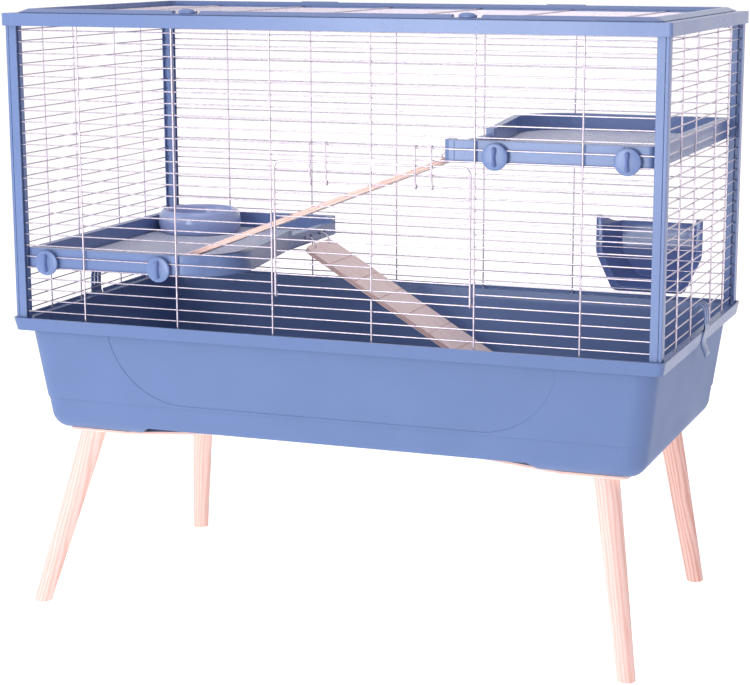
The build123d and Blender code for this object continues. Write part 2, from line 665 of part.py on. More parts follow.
# ---- side clips
def side_clip(side):
    out = HL + CLIP_T / 2 + 1
    hook_z = wire_z(1) + WIRE_R + 0.7 + CLIP_T / 2
    points = [(out + 2.5, RIM_Z - 43), (HL - 2, RIM_Z - 25), (HL - 1.5, CLIP_Z), (out, RIM_Z - 1),
              (out, hook_z - 12), (out - 3, hook_z), (WIRE_X - WIRE_R - 1.5, hook_z)]
    strip = trace(FilletPolyline(*points, radius=2.5), CLIP_T)
    half = CLIP_WIDTH / 2
    body = extrude(Plane.XZ.offset(-half) * strip, CLIP_WIDTH)
    body += along_y(-half, half, CLIP_X, CLIP_Z, CLIP_BARREL_R)
    body += block(CLIP_X, HL - 1.5, -half, half, CLIP_Z - CLIP_T / 2, CLIP_Z + CLIP_T / 2)
    body -= along_y(-half, half, CLIP_X, CLIP_Z, CLIP_PIN_R + PIN_CLEAR)
    for y in (-CLIP_WIDTH / 6, CLIP_WIDTH / 6):
        body -= block(WIRE_X - 10, out + 10, y - CLIP_SLOT / 2, y + CLIP_SLOT / 2, RIM_Z + 8, hook_z + 10)
    return body if side > 0 else mirror(body, about=Plane.YZ)


def clip_pins():
    half = CLIP_WIDTH / 2 + CLIP_NOTCH_CLEAR + CLIP_BOSS
    return Compound(children=[along_y(-half, half, s * CLIP_X, CLIP_Z, CLIP_PIN_R) for s in (-1, 1)])


# ---- shelves
def shelf_outline(inset):
    corner = SHELF_END + SHELF_SHORT
    points = [(SHELF_END, -SHELF_Y), (corner, -SHELF_Y), (SHELF_HOOK_X, SHELF_HOOK_Y),
              (SHELF_HOOK_X, SHELF_Y), (SHELF_END, SHELF_Y)]
    radii = [SHELF_CORNER_R, SHELF_BULGE_R, SHELF_HOOK_R, SHELF_CORNER_R, SHELF_CORNER_R]
    outline = Polygon(*points, align=None)
    for point, r in zip(points, radii):
        outline = round_corner(outline, point, r)
    return offset(outline, -inset) if inset else outline


def shelf():
    outer = shelf_outline(0)
    body = Pos(0, 0, SHELF_Z) * extrude(outer, SHELF_H)
    body -= Pos(0, 0, SHELF_Z + RAIL_INNER) * extrude(shelf_outline(RAIL_W), SHELF_H)
    body -= Pos(0, 0, SHELF_Z) * extrude(shelf_outline(RAIL_W + RAIL_FOOT), SHELF_H)
    hollow = shelf_outline(RAIL_SKIN) - shelf_outline(RAIL_W - RAIL_INNER)
    top = SHELF_Z + SHELF_H
    hook_top = top - HOOK_RAIL_DROP
    start = SHELF_HOOK_Y + HOOK_RAIL_SPAN[0]
    end = SHELF_Y - HOOK_RAIL_SPAN[1]
    across = (SHELF_HOOK_X - RAIL_W - 1, SHELF_HOOK_X + 1)
    kept = block(*across, start - RAIL_SKIN, end + RAIL_SKIN, hook_top - RAIL_SKIN, top)
    body -= Pos(0, 0, SHELF_Z) * extrude(hollow, SHELF_H - RAIL_SKIN) - kept
    body -= block(*across, start, end, hook_top, top + 1)
    for y in RAMP_Y.values():
        for half in (-HOOK_SPACING / 2, HOOK_SPACING / 2):
            x = SHELF_HOOK_X - RAIL_SKIN
            body -= along_x(x - 1, SHELF_HOOK_X + 1, y + half, HOOK_AXIS_Z, HOOK_HOLE_R)
    for x in KNOB_FROM_END:
        for sy in (-1, 1):
            y = sorted((sy * (SHELF_Y - RAIL_SKIN - 1), sy * (SHELF_Y + 1)))
            body -= along_y(y[0], y[1], SHELF_END + x, SHELF_KNOB_Z, STEM_R + PIN_CLEAR)
    return body


def shelf_grid():
    border = shelf_outline(RAIL_W + GRID_CLEAR)
    inside = shelf_outline(RAIL_W + GRID_BORDER)
    box = inside.bounding_box()
    bars = []
    x = SHELF_END + RAIL_W + GRID_BORDER + GRID_PITCH
    while x < box.max.X:
        bars.append(Pos(x, 0) * Rectangle(GRID_BAR, 2 * SHELF_Y))
        x += GRID_PITCH
    rows = int(SHELF_Y // GRID_PITCH)
    for row in range(-rows, rows + 1):
        middle = Pos((box.min.X + box.max.X) / 2, row * GRID_PITCH)
        bars.append(middle * Rectangle(box.size.X + GRID_PITCH, GRID_BAR))
    lattice = Sketch() + bars
    face = (border - inside) + (lattice & inside)
    return Pos(0, 0, SHELF_Z + RAIL_INNER) * extrude(face, GRID_T)


def knob(x):
    # front knob of the lower shelf
    back = -(WIRE_Y + WIRE_R + KNOB_CLEAR)
    disc = along_y(back - KNOB_T, back, 0, 0, KNOB_R)
    disc = fillet(disc.edges().group_by(Axis.Y)[0], KNOB_T / 3)
    reach = KNOB_WING[0] / 2 - KNOB_WING_END_R
    wing = Rectangle(KNOB_WING[2], 2 * reach)
    wing += [Pos(0, z) * Circle(KNOB_WING_END_R) for z in (-reach, reach)]
    body = disc + extrude(Plane.XZ.offset(-back + KNOB_T) * wing, KNOB_WING[1])
    inner = -SHELF_Y + RAIL_SKIN + COLLAR_CLEAR
    body += along_y(back, inner + COLLAR_T, 0, 0, STEM_R)
    body += along_y(inner, inner + COLLAR_T, 0, 0, COLLAR_R)
    return Pos(x, 0, SHELF_KNOB_Z) * body


# ---- ramps
def ramp_slope(length, drop):
    # angle below level at which a ramp hung this far above its rest just reaches it
    run = RAMP_START + length
    thick = RAMP_T + RAMP_BELOW_HOOK
    return asin((drop - RAMP_REST_GAP) / hypot(run, thick)) - atan2(thick, run)


def ramp_plank(length):
    # the plank as it leaves the hooks' axis along +X, level
    outline = Rectangle(length, RAMP_W, align=(Align.MIN, Align.CENTER))
    outline = fillet(outline.vertices().group_by(Axis.X)[0], RAMP_CORNER_R)
    low = -RAMP_BELOW_HOOK - RAMP_T
    body = Pos(RAMP_START, 0, low) * extrude(outline, RAMP_T)
    count = int((length - RAMP_GROOVE_PITCH / 2) // RAMP_GROOVE_PITCH)
    for i in range(1, count + 1):
        x = RAMP_START + i * RAMP_GROOVE_PITCH
        body -= Pos(x, 0, -RAMP_BELOW_HOOK) * Box(RAMP_GROOVE, RAMP_W, 2 * RAMP_GROOVE)
    for y in (-HOOK_SPACING / 2, HOOK_SPACING / 2):
        body -= along_z(low, -RAMP_BELOW_HOOK, RAMP_START + HOOK_IN_PLANK, y, HOOK_R + HOOK_FIT)
    return body


def ramp_hooks(slope):
    # the two wire hooks, about their axis, for a plank turned down by this slope
    away = (cos(slope), -sin(slope))
    up = (sin(slope), cos(slope))
    reach = RAMP_START + HOOK_IN_PLANK
    hole = [(reach * away[0] + d * up[0], reach * away[1] + d * up[1])
            for d in (-RAMP_BELOW_HOOK + 2 * HOOK_BEND_R, -RAMP_BELOW_HOOK - RAMP_T - HOOK_R)]
    hooks = []
    for y in (-HOOK_SPACING / 2, HOOK_SPACING / 2):
        line = [(-HOOK_INSIDE, HOOK_TAIL), (-HOOK_INSIDE, 0), (HOOK_REACH, 0)] + hole
        hooks.append(bent_wire([(x, y, z) for x, z in line], HOOK_BEND_R, HOOK_R))
    return Compound(children=hooks)


def ramp(length, name):
    slope = ramp_slope(length, RAMP_DROP[name])
    place = Pos(HOOK_AXIS_X, RAMP_Y[name], HOOK_AXIS_Z)
    return place * Rot(0, degrees(slope), 0) * ramp_plank(length), place * ramp_hooks(slope)


# ---- bowl
def bowl():
    belly = BOWL_H / 2
    edge = Spline((BOWL_FOOT_R, 0), (BOWL_R, belly), (BOWL_RIM_R, BOWL_H), tangents=[(0.6, 1), (-1, 0.15)])
    rest = Polyline(edge @ 1, (0, BOWL_H), (0, 0), edge @ 0)
    body = revolve(Plane.XZ * make_face([edge, rest]), Axis.Z)
    mouth = BOWL_RIM_R - 2 * BOWL_WALL
    foot = mouth - 2 * BOWL_WALL
    hollow = Polygon((0, BOWL_FLOOR), (foot, BOWL_FLOOR), (mouth, BOWL_H), (0, BOWL_H), align=None)
    body -= revolve(Plane.XZ * hollow, Axis.Z)
    skirt = Polygon((foot + BOWL_WALL, 0), (BOWL_FOOT_R - BOWL_WALL, 0), (BOWL_R - 2 * BOWL_WALL, belly),
                    (BOWL_RIM_R - 1, BOWL_H - 3 * BOWL_WALL),
                    (mouth + BOWL_WALL, BOWL_H - 3 * BOWL_WALL), align=None)
    body -= revolve(Plane.XZ * skirt, Axis.Z)
    x = SHELF_END + RAIL_W + BOWL_BESIDE_RAIL + BOWL_R
    y = SHELF_Y - RAIL_W - BOWL_BESIDE_RAIL - BOWL_R
    return Pos(x, y, GRID_TOP + BOWL_CLEAR) * body


# ---- hay rack
RACK_Y = WIRE_Y + BAR_OUT + BAR_R + RACK_MESH_CLEAR
RACK_Z = RIM_Z + RACK_ABOVE_RIM
HANGER_Z = wire_z(HANGER_WIRE) + WIRE_PITCH / 2


def rack_outline(inset):
    half = RACK_W / 2 - inset
    low = RACK_BOTTOM_W / 2 - inset
    waist = RACK_Z + RACK_H - RACK_STRAIGHT
    top = RACK_Z + RACK_H
    base = RACK_Z + inset * 0.6
    return Polygon((-half, top), (-half, waist), (-low, base), (low, base), (half, waist), (half, top),
                   align=None)


def rack_pocket(inset, front, back):
    near = Plane.XZ.offset(-front) * rack_outline(RACK_FLANGE + inset)
    far = Plane.XZ.offset(-back) * rack_outline(RACK_FLANGE + RACK_TAPER + inset)
    return loft([near.face(), far.face()], ruled=True)


def hay_rack():
    back = RACK_Y + RACK_DEPTH
    body = rack_pocket(0, RACK_Y, back)
    body += extrude(Plane.XZ.offset(-RACK_Y - RACK_FLANGE_T) * rack_outline(0), RACK_FLANGE_T)
    body -= rack_pocket(RACK_WALL, RACK_Y, back - RACK_WALL)
    top = RACK_Z + RACK_H
    half = RACK_W / 2 - RACK_FLANGE - RACK_WALL
    inner = half - RACK_TAPER
    deep = back - RACK_WALL
    mouth = Polygon((-half, RACK_Y), (half, RACK_Y), (inner, deep), (-inner, deep), align=None)
    body -= Pos(0, 0, top - RACK_WALL) * extrude(mouth, 2 * RACK_WALL)
    slope = Polygon((RACK_Y + RACK_FLANGE_T, top), (back + 1, top), (back + 1, top - RACK_BACK_DROP),
                    align=None)
    body -= Pos(-RACK_W / 2, 0, 0) * extrude(Plane.YZ * slope, RACK_W)
    for side in (-1, 1):
        x = side * (RACK_W / 2 - RACK_FLANGE / 2)
        body -= along_y(RACK_Y, RACK_Y + RACK_FLANGE_T, x, HANGER_Z, HANGER_R + HANGER_HOLE_CLEAR)
    return Pos(HL - RACK_IN, 0, 0) * body


def rack_hanger():
    half = RACK_W / 2 - RACK_FLANGE / 2
    bar_y = WIRE_Y - WIRE_R - HANGER_CLEAR - HANGER_R
    end_y = RACK_Y + RACK_FLANGE_T + HANGER_PAST
    points = [(-half, end_y, HANGER_Z), (-half, bar_y, HANGER_Z),
              (half, bar_y, HANGER_Z), (half, end_y, HANGER_Z)]
    return Pos(HL - RACK_IN, 0, 0) * bent_wire(points, 2 * HANGER_R, HANGER_R)


# ---- everything, one file for each node
def build():
    nodes = {"tub": tub(), "top_frame": top_frame(), "lid_frame": lid_frame(), "lid_mesh": lid_mesh(),
             "lid_hinge_pins": lid_hinge_pins(), "front_mesh": long_panel(-1), "back_mesh": long_panel(1),
             "front_door": front_door(), "clip_pins": clip_pins(), "leg_studs": leg_studs(),
             "tee_nuts": tee_nuts(), "board_screws": board_screws(), "bowl": bowl(), "hay_rack": hay_rack(),
             "hay_rack_hanger": rack_hanger()}
    for name in CORNERS:
        nodes[f"leg_{name}"] = leg(name)
        nodes[f"post_{name}"] = post(name)
    for word, side in (("left", -1), ("right", 1)):
        nodes[f"leg_board_{word}"] = board(side)
        nodes[f"{word}_mesh"] = end_panel(side)
        nodes[f"side_clip_{word}"] = side_clip(side)
        nodes[f"lid_latch_{word}"] = lid_latch(side)
        nodes[f"door_latch_{word}"] = door_latch(side)
    raise_up = Pos(0, 0, SHELF_UP)
    nodes["shelf_lower"] = shelf()
    nodes["shelf_upper"] = raise_up * half_turn(nodes["shelf_lower"])
    nodes["shelf_grid_lower"] = shelf_grid()
    nodes["shelf_grid_upper"] = raise_up * half_turn(nodes["shelf_grid_lower"])
    for word, x in zip(("a", "b"), KNOB_FROM_END):
        front = knob(SHELF_END + x)
        back = half_turn(knob(-SHELF_END - x))
        nodes[f"knob_lower_front_{word}"] = front
        nodes[f"knob_lower_back_{word}"] = back
        nodes[f"knob_upper_back_{word}"] = raise_up * half_turn(front)
        nodes[f"knob_upper_front_{word}"] = raise_up * half_turn(back)
    nodes["ramp_lower"], nodes["ramp_hooks_lower"] = ramp(RAMP_LOWER_LENGTH, "lower")
    upper, hooks = ramp(RAMP_UPPER_LENGTH, "upper")
    nodes["ramp_upper"] = raise_up * half_turn(upper)
    nodes["ramp_hooks_upper"] = raise_up * half_turn(hooks)
    return nodes


os.makedirs("parts", exist_ok=True)
for node, shape in build().items():
    export_step(shape, f"parts/{node}.step")
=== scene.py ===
import math
import bmesh
import bpy
from mathutils import Matrix, Vector


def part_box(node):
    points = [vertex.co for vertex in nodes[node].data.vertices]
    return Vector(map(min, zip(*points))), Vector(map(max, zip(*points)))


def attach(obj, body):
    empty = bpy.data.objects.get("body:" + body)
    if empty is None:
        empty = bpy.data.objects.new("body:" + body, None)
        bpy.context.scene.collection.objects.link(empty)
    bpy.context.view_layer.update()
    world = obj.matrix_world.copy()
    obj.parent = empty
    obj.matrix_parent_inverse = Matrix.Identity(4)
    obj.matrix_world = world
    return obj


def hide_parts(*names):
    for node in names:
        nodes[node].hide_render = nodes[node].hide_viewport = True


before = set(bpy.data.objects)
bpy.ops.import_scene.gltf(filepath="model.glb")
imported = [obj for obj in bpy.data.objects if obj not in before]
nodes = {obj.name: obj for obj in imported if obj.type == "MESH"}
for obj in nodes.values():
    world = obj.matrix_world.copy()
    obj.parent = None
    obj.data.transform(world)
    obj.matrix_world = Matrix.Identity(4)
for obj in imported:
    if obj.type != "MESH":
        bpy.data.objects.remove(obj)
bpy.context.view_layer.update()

mm = 0.001


# small helpers

def linear(code, alpha=1.0):
    # "#7B90C8" to the linear colour that the shaders work in
    channels = [int(code[i:i + 2], 16) / 255 for i in (1, 3, 5)]
    return tuple(c / 12.92 if c <= 0.04045 else ((c + 0.055) / 1.055) ** 2.4 for c in channels) + (alpha,)


def addNode(tree, kind, settings=None, inputs=None, ramp=None):
    # settings are the node's own properties, inputs are numbers or sockets to link from
    node = tree.nodes.new(kind)
    for name, value in (settings or {}).items():
        setattr(node, name, value)
    for name, value in (inputs or {}).items():
        if isinstance(value, bpy.types.NodeSocket):
            tree.links.new(value, node.inputs[name])
        else:
            node.inputs[name].default_value = value
    if ramp:
        elements = node.color_ramp.elements
        elements[0].position, elements[0].color = ramp[0]
        elements[1].position, elements[1].color = ramp[-1]
        for position, colour in ramp[1:-1]:
            elements.new(position).color = colour
    return node


def startMaterial(name):
    material = bpy.data.materials.new(name)
    material.use_nodes = True
    tree = material.node_tree
    tree.nodes.clear()
    place = addNode(tree, "ShaderNodeTexCoord").outputs["Object"]
    return material, tree, place


def endMaterial(material, tree, shader):
    addNode(tree, "ShaderNodeOutputMaterial", inputs={"Surface": shader.outputs["BSDF"]})
    return material


def grey(value):
    return (value, value, value, 1.0)


def finishPiece(name, mesh, material, body, smoothAngle=40):
    for polygon in mesh.polygons:
        polygon.use_smooth = True
    piece = bpy.data.objects.new(name, mesh)
    bpy.context.scene.collection.objects.link(piece)
    mesh.materials.append(material)
    mesh.set_sharp_from_angle(angle=math.radians(smoothAngle))
    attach(piece, body)
    return piece


def meshFrom(name, work):
    bmesh.ops.recalc_face_normals(work, faces=work.faces)
    mesh = bpy.data.meshes.new(name)
    work.to_mesh(mesh)
    work.free()
    return mesh


def addBox(work, low, high):
    corners = [work.verts.new((x, y, z)) for x in (low[0], high[0]) for y in (low[1], high[1])
               for z in (low[2], high[2])]
    for order in ((0, 1, 3, 2), (4, 6, 7, 5), (0, 4, 5, 1), (2, 3, 7, 6), (0, 2, 6, 4), (1, 5, 7, 3)):
        work.faces.new([corners[i] for i in order])


def addRings(work, rings, closeEnds=True):
    # rings of points, each joined to the next, with flat ends
    loops = [[work.verts.new(p) for p in ring] for ring in rings]
    count = len(loops[0])
    for a, b in zip(loops, loops[1:]):
        for i in range(count):
            work.faces.new([a[i], a[(i + 1) % count], b[(i + 1) % count], b[i]])
    if closeEnds:
        work.faces.new(loops[0][::-1])
        work.faces.new(loops[-1])


def circle(count):
    return [2 * math.pi * i / count for i in range(count)]


def smoothLine(points, steps):
    # Catmull-Rom through the points
    padded = [points[0]] + list(points) + [points[-1]]
    line = []
    for a, b, c, d in zip(padded, padded[1:], padded[2:], padded[3:]):
        for i in range(steps):
            t = i / steps
            line.append(tuple(0.5 * (2 * q + (r - p) * t + (2 * p - 5 * q + 4 * r - s) * t ** 2
                                     + (3 * q - p - 3 * r + s) * t ** 3) for p, q, r, s in zip(a, b, c, d)))
    line.append(tuple(points[-1]))
    return line


# materials

# Polypropylene, injection moulded against a spark-eroded mould: an even colour with a fine satin grain,
# soft wide highlights, and edges that catch the light.
polypropylene = {"grain": 1.3 * mm, "grainStrength": 0.35, "ior": 1.49, "edge": 0.9 * mm, "drift": 12.0,
                 "smoother": 0.04, "rougher": 0.06}

# the tub's front has a polished D-shaped panel, a bar with elliptical ends, and its rim a polished lip
polish = {"panelHalf": 0.229, "panelRadius": 0.117, "panelTop": 0.450, "frontY": -0.22, "lipZ": 0.4345,
          "onPanel": -0.10, "onLip": -0.24}


def makePolypropylene(name, base, deep, roughness, grainDepth, specular=0.5, polished=False):
    material, tree, place = startMaterial(name)
    # slow drift of the pigment over about 8 cm
    drift = addNode(tree, "ShaderNodeTexNoise", inputs={"Vector": place, "Scale": polypropylene["drift"],
                                                        "Detail": 3.0})
    colour = addNode(tree, "ShaderNodeMix", {"data_type": "RGBA"})
    colour.inputs[6].default_value = linear(base)
    colour.inputs[7].default_value = linear(deep)
    tree.links.new(drift.outputs["Fac"], colour.inputs[0])
    # the grain is drawn about twice its real 0.6 mm so that it shows
    grain = addNode(tree, "ShaderNodeTexNoise", inputs={"Vector": place, "Scale": 1 / polypropylene["grain"],
                                                        "Detail": 2.0, "Roughness": 0.6})
    spread = addNode(tree, "ShaderNodeMapRange", inputs={
        "Value": drift.outputs["Fac"], "To Min": roughness - polypropylene["smoother"],
        "To Max": roughness + polypropylene["rougher"]})
    roughOut = spread.outputs["Result"]
    strength = polypropylene["grainStrength"]
    if polished:
        xyz = addNode(tree, "ShaderNodeSeparateXYZ", inputs={"Vector": place})
        x = addNode(tree, "ShaderNodeMath", {"operation": "ABSOLUTE"}, {0: xyz.outputs["X"]})
        x = addNode(tree, "ShaderNodeMath", {"operation": "SUBTRACT"},
                    {0: x.outputs[0], 1: polish["panelHalf"]})
        x = addNode(tree, "ShaderNodeMath", {"operation": "MAXIMUM"}, {0: x.outputs[0], 1: 0.0})
        x = addNode(tree, "ShaderNodeMath", {"operation": "DIVIDE"},
                    {0: x.outputs[0], 1: polish["panelRadius"]})
        z = addNode(tree, "ShaderNodeMath", {"operation": "SUBTRACT"},
                    {0: polish["panelTop"], 1: xyz.outputs["Z"]})
        z = addNode(tree, "ShaderNodeMath", {"operation": "DIVIDE"},
                    {0: z.outputs[0], 1: polish["panelRadius"]})
        both = addNode(tree, "ShaderNodeCombineXYZ", inputs={"X": x.outputs[0], "Y": z.outputs[0]})
        far = addNode(tree, "ShaderNodeVectorMath", {"operation": "LENGTH"}, {0: both.outputs[0]})
        inside = addNode(tree, "ShaderNodeMath", {"operation": "LESS_THAN"},
                         {0: far.outputs["Value"], 1: 1.0})
        front = addNode(tree, "ShaderNodeMath", {"operation": "LESS_THAN"},
                        {0: xyz.outputs["Y"], 1: polish["frontY"]})
        panel = addNode(tree, "ShaderNodeMath", {"operation": "MULTIPLY"},
                        {0: inside.outputs[0], 1: front.outputs[0]})
        lip = addNode(tree, "ShaderNodeMath", {"operation": "GREATER_THAN"},
                      {0: xyz.outputs["Z"], 1: polish["lipZ"]})
        rough = addNode(tree, "ShaderNodeMath", {"operation": "MULTIPLY_ADD"},
                        {0: panel.outputs[0], 1: polish["onPanel"], 2: roughOut})
        rough = addNode(tree, "ShaderNodeMath", {"operation": "MULTIPLY_ADD"},
                        {0: lip.outputs[0], 1: polish["onLip"], 2: rough.outputs[0]})
        roughOut = rough.outputs[0]
        either = addNode(tree, "ShaderNodeMath", {"operation": "MAXIMUM"},
                         {0: panel.outputs[0], 1: lip.outputs[0]})
        grainy = addNode(tree, "ShaderNodeMath", {"operation": "SUBTRACT"}, {0: 1.0, 1: either.outputs[0]})
        strength = addNode(tree, "ShaderNodeMath", {"operation": "MULTIPLY"},
                           {0: grainy.outputs[0], 1: strength}).outputs[0]
    edges = addNode(tree, "ShaderNodeBevel", {"samples": 4}, {"Radius": polypropylene["edge"]})
    bump = addNode(tree, "ShaderNodeBump", inputs={"Height": grain.outputs["Fac"], "Strength": strength,
                                                   "Distance": grainDepth, "Normal": edges.outputs[0]})
    shader = addNode(tree, "ShaderNodeBsdfPrincipled", inputs={
        "Base Color": colour.outputs[2], "Roughness": roughOut, "IOR": polypropylene["ior"],
        "Specular IOR Level": specular, "Normal": bump.outputs[0]})
    return endMaterial(material, tree, shader)


# Bright zinc plating on drawn steel wire: pale metal with a faint pinkish cast and drawing lines.
zincPlate = {"patch": 6 * mm, "smoother": 0.07, "rougher": 0.10, "depth": 0.1 * mm}


def makeZinc(name, base, dull, roughness):
    material, tree, place = startMaterial(name)
    patch = addNode(tree, "ShaderNodeTexNoise", inputs={"Vector": place, "Scale": 1 / zincPlate["patch"],
                                                        "Detail": 4.0})
    tone = addNode(tree, "ShaderNodeValToRGB", inputs={"Fac": patch.outputs["Fac"]},
                   ramp=[(0.35, linear(dull)), (0.65, linear(base))])
    rough = addNode(tree, "ShaderNodeMapRange", inputs={
        "Value": patch.outputs["Fac"], "To Min": roughness - zincPlate["smoother"],
        "To Max": roughness + zincPlate["rougher"]})
    bump = addNode(tree, "ShaderNodeBump", inputs={"Height": patch.outputs["Fac"], "Strength": 0.2,
                                                   "Distance": zincPlate["depth"]})
    shader = addNode(tree, "ShaderNodeBsdfPrincipled", inputs={
        "Base Color": tone.outputs["Color"], "Metallic": 1.0, "Roughness": rough.outputs["Result"],
        "Normal": bump.outputs[0]})
    return endMaterial(material, tree, shader)


# Steamed beech, turned, under a clear matt lacquer: pink-brown, with short darker flecks along the grain.
beech = {"lightLeg": ("#F3D0C6", "#E7BBAD"), "shadedLeg": ("#E6C0B5", "#D3A093"), "fleck": "#C9907E",
         "ringScale": 6 / (20 * 5.5 * mm), "alongGrain": 0.09, "fleckLength": 5 * mm, "fleckWidth": 0.8 * mm,
         "roughness": 0.48, "ior": 1.5}


def makeBeech(name, axis, base, late):
    material, tree, place = startMaterial(name)
    # turn the leg's own axis to Z so that the grain runs along it
    turn = Vector(axis).normalized().rotation_difference(Vector((0, 0, 1))).to_euler()
    along = addNode(tree, "ShaderNodeMapping", inputs={"Vector": place, "Rotation": tuple(turn)})
    stretch = addNode(tree, "ShaderNodeMapping", inputs={"Vector": along.outputs[0],
                                                         "Scale": (1, 1, beech["alongGrain"])})
    rings = addNode(tree, "ShaderNodeTexWave", {"wave_type": "BANDS", "bands_direction": "X"},
                    {"Vector": stretch.outputs[0], "Scale": beech["ringScale"], "Distortion": 7.0,
                     "Detail": 3.0, "Detail Scale": 1.4})
    tone = addNode(tree, "ShaderNodeValToRGB", inputs={"Fac": rings.outputs["Fac"]},
                   ramp=[(0.25, linear(base)), (0.95, linear(late))])
    fleckPlace = addNode(tree, "ShaderNodeMapping", inputs={"Vector": along.outputs[0], "Scale": (
        1 / beech["fleckWidth"], 1 / beech["fleckWidth"], 1 / beech["fleckLength"])})
    cells = addNode(tree, "ShaderNodeTexVoronoi", inputs={"Vector": fleckPlace.outputs[0], "Scale": 1.0})
    spot = addNode(tree, "ShaderNodeValToRGB", inputs={"Fac": cells.outputs["Distance"]},
                   ramp=[(0.10, grey(0.55)), (0.30, grey(0.0))])
    colour = addNode(tree, "ShaderNodeMix", {"data_type": "RGBA"})
    tree.links.new(spot.outputs["Color"], colour.inputs[0])
    tree.links.new(tone.outputs["Color"], colour.inputs[6])
    colour.inputs[7].default_value = linear(beech["fleck"])
    bump = addNode(tree, "ShaderNodeBump", inputs={"Height": rings.outputs["Fac"], "Strength": 0.15,
                                                   "Distance": 0.15 * mm})
    shader = addNode(tree, "ShaderNodeBsdfPrincipled", inputs={
        "Base Color": colour.outputs[2], "Roughness": beech["roughness"], "IOR": beech["ior"],
        "Normal": bump.outputs[0]})
    return endMaterial(material, tree, shader)


# Poplar plywood, sanded and bare: a pale face with long faint grain, and edges striped by the plies.
plywood = {"face": "#FBEDE6", "grain": "#F0D9CE", "edgeLight": "#F3D6CC", "edgeDark": "#E0B5A6",
           "ply": 1.75 * mm, "grainWidth": 2.2 * mm, "faceFrom": 0.7, "roughness": 0.62, "ior": 1.5}


def makePlywood(name, slope, low):
    # slope turns the panel flat about Y, low is one point on its underside
    material, tree, place = startMaterial(name)
    shift = addNode(tree, "ShaderNodeVectorMath", {"operation": "SUBTRACT"}, {0: place, 1: low})
    flat = addNode(tree, "ShaderNodeVectorRotate", {"rotation_type": "Y_AXIS"},
                   {"Vector": shift.outputs[0], "Angle": -slope})
    parts = addNode(tree, "ShaderNodeSeparateXYZ", inputs={"Vector": flat.outputs[0]})
    long = addNode(tree, "ShaderNodeMapping", inputs={"Vector": flat.outputs[0], "Scale": (0.06, 1, 0.3)})
    grain = addNode(tree, "ShaderNodeTexNoise", inputs={
        "Vector": long.outputs[0], "Scale": 1 / plywood["grainWidth"], "Detail": 5.0, "Distortion": 0.4})
    face = addNode(tree, "ShaderNodeValToRGB", inputs={"Fac": grain.outputs["Fac"]},
                   ramp=[(0.35, linear(plywood["grain"])), (0.62, linear(plywood["face"]))])
    plies = addNode(tree, "ShaderNodeMath", {"operation": "MULTIPLY"},
                    {0: parts.outputs["Z"], 1: 0.5 / plywood["ply"]})
    plies = addNode(tree, "ShaderNodeMath", {"operation": "FRACT"}, {0: plies.outputs[0]})
    stripe = addNode(tree, "ShaderNodeValToRGB", inputs={"Fac": plies.outputs[0]},
                     ramp=[(0.45, linear(plywood["edgeLight"])), (0.55, linear(plywood["edgeDark"]))])
    # faces look along the panel's normal, edges don't
    normal = addNode(tree, "ShaderNodeNewGeometry").outputs["True Normal"]
    turned = addNode(tree, "ShaderNodeVectorRotate", {"rotation_type": "Y_AXIS"},
                     {"Vector": normal, "Angle": -slope})
    up = addNode(tree, "ShaderNodeSeparateXYZ", inputs={"Vector": turned.outputs[0]})
    up = addNode(tree, "ShaderNodeMath", {"operation": "ABSOLUTE"}, {0: up.outputs["Z"]})
    isFace = addNode(tree, "ShaderNodeMath", {"operation": "GREATER_THAN"},
                     {0: up.outputs[0], 1: plywood["faceFrom"]})
    colour = addNode(tree, "ShaderNodeMix", {"data_type": "RGBA"})
    tree.links.new(isFace.outputs[0], colour.inputs[0])
    tree.links.new(stripe.outputs["Color"], colour.inputs[6])
    tree.links.new(face.outputs["Color"], colour.inputs[7])
    bump = addNode(tree, "ShaderNodeBump", inputs={"Height": grain.outputs["Fac"], "Strength": 0.3,
                                                   "Distance": 0.2 * mm})
    shader = addNode(tree, "ShaderNodeBsdfPrincipled", inputs={
        "Base Color": colour.outputs[2], "Roughness": plywood["roughness"], "IOR": plywood["ior"],
        "Normal": bump.outputs[0]})
    return endMaterial(material, tree, shader)


satin = makePolypropylene("moulded polypropylene, satin", "#6A80AE", "#6278A6", 0.26, 0.05 * mm)
tubSatin = makePolypropylene("moulded polypropylene, tub", "#657BA9", "#5E749F", 0.50, 0.16 * mm,
                             specular=0.32, polished=True)
glossy = makePolypropylene("moulded polypropylene, polished", "#6478AC", "#5D71A6", 0.13, 0.02 * mm)
# the bowl is the same plastic as the other parts, drawn much lighter: painted highlight standing in for the
# reflections on its glossy surface
bowlGlossAndPaintedHighlight = makePolypropylene("moulded polypropylene, bowl", "#9DACD4", "#90A1CC", 0.16, 0.02 * mm)
lattice = makePolypropylene("moulded polypropylene, lattice", "#DFE4F0", "#CDD5E8", 0.45, 0.05 * mm)
zinc = makeZinc("bright zinc-plated wire", "#CFC4CF", "#B4AAB7", 0.30)
fixings = makeZinc("zinc-plated fixings", "#A9A9AE", "#8D8D94", 0.36)

# words in a piece's name that settle its material: the first match counts, and everything else is satin
materialWords = [(("bowl",), bowlGlossAndPaintedHighlight), (("mesh", "front_door", "door_latch", "hooks", "hanger"), zinc),
                 (("hay_rack",), glossy), (("shelf_grid",), lattice), (("tub",), tubSatin),
                 (("pins", "studs", "nuts", "screws"), fixings)]

# which way each ramp is turned, and how much of its box's diagonal a leg's own axis follows
rampSlopes = {"ramp_lower": 1, "ramp_upper": -1}
legAxis = {"x": 0.62, "y": 0.5}


def legMaterial(nodeName):
    low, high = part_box(nodeName)
    leanX = (high.x - low.x) * (1 if "left" in nodeName else -1)
    leanY = (high.y - low.y) * (1 if "front" in nodeName else -1)
    # painted shade: the back-right leg, furthest from the key light and under the tub, gets a darker copy of
    # the beech
    base, late = beech["shadedLeg" if nodeName == "leg_back_right" else "lightLeg"]
    return makeBeech(f"steamed beech, {nodeName[4:].replace('_', ' ')}",
                     (leanX * legAxis["x"], leanY * legAxis["y"], high.z - low.z), base, late)


